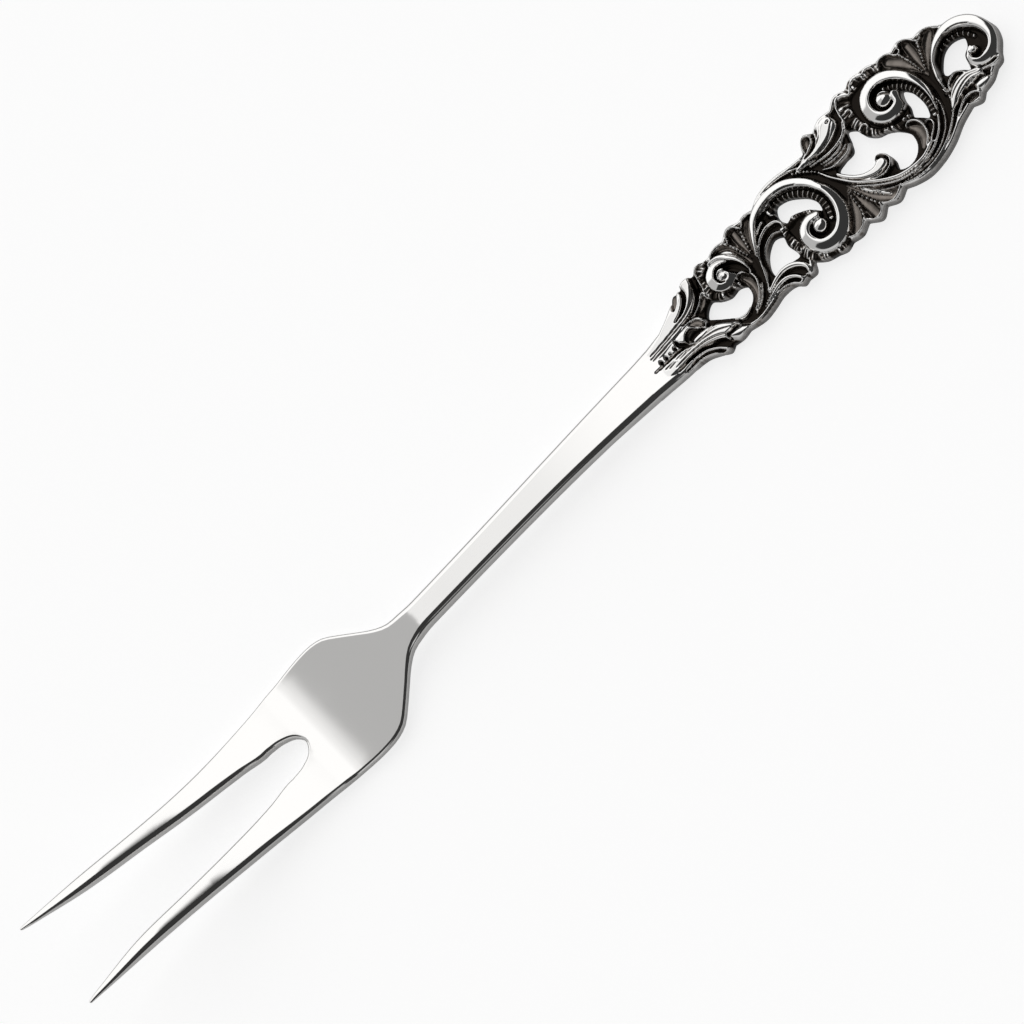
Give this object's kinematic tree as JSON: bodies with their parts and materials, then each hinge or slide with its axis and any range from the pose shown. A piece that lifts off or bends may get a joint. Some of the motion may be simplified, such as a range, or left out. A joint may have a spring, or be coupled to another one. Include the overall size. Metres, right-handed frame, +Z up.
{
  "type": "serving fork",
  "caption": "Small serving fork in cast silver: long spread tines, dished plate, slim stem and a flat-backed pierced scrollwork handle.",
  "frame": {"origin": "middle of the fork's length and width, on the table that it rests on", "axes": "+X from the tine tips to the handle end, +Z up off the table, +Y across"},
  "size_m": [0.18, 0.0186, 0.0121],
  "materials": {
    "silver": "polished cast silver, blackened in the recesses of the carving"
  },
  "bodies": {
    "root": {"serving_fork": "silver"}
  },
  "joints": []
}
